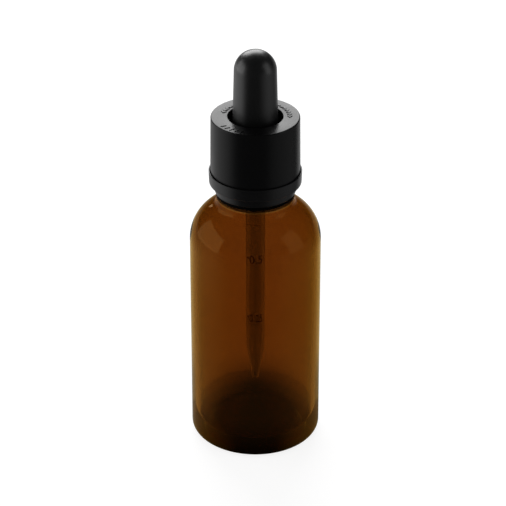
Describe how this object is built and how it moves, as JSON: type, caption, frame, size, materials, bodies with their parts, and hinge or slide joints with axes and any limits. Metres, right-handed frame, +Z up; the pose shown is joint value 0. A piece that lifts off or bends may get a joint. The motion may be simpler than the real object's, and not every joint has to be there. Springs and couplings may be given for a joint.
{
  "type": "dropper bottle",
  "caption": "Round amber glass dropper bottle with a screw-on child-resistant cap, a tamper ring, a rubber bulb and a glass pipette.",
  "frame": {"origin": "centre of the plane that the bottle stands on", "axes": "+Z up along the common axis of the bottle, the cap and the dropper; +X and +Y square to it, -Y towards the viewer of the picture"},
  "size_m": [0.033, 0.033, 0.1069],
  "materials": {
    "amber_glass": "clear amber, smooth",
    "ring_plastic": "satin black",
    "cap_plastic": "satin black",
    "shell_plastic": "satin black, glossier on top",
    "black_rubber": "smooth satin rubber",
    "clear_glass": "clear, smooth"
  },
  "bodies": {
    "bottle": {"bottle": "amber_glass"},
    "tamper_ring": {"tamper_ring": "ring_plastic"},
    "dropper": {"bulb": "black_rubber", "pipette": "clear_glass"},
    "inner_cap": {"inner_cap": "cap_plastic"},
    "outer_cap": {"outer_cap": "shell_plastic"}
  },
  "joints": [
    {"name": "ring_turn", "type": "hinge", "parent": "bottle", "child": "tamper_ring", "pos_m": [0, 0, 0.0715], "axis": [0, 0, 1], "continuous": true},
    {"name": "closure_rise", "type": "slide", "parent": "bottle", "child": "dropper", "axis": [0, 0, 1], "range_m": [0, 0.0045]},
    {"name": "cap_turn", "type": "hinge", "parent": "dropper", "child": "inner_cap", "pos_m": [0, 0, 0.0808], "axis": [0, 0, 1], "range_deg": [0, 540]},
    {"name": "child_lock_push", "type": "slide", "parent": "inner_cap", "child": "outer_cap", "axis": [0, 0, -1], "range_m": [0, 0.0012], "stiffness_N_per_m": 3000, "springref_m": -0.00002}
  ],
  "couplings": [
    {"joint": "cap_turn", "follows": "closure_rise", "rad_per_m": 2094.4}
  ]
}
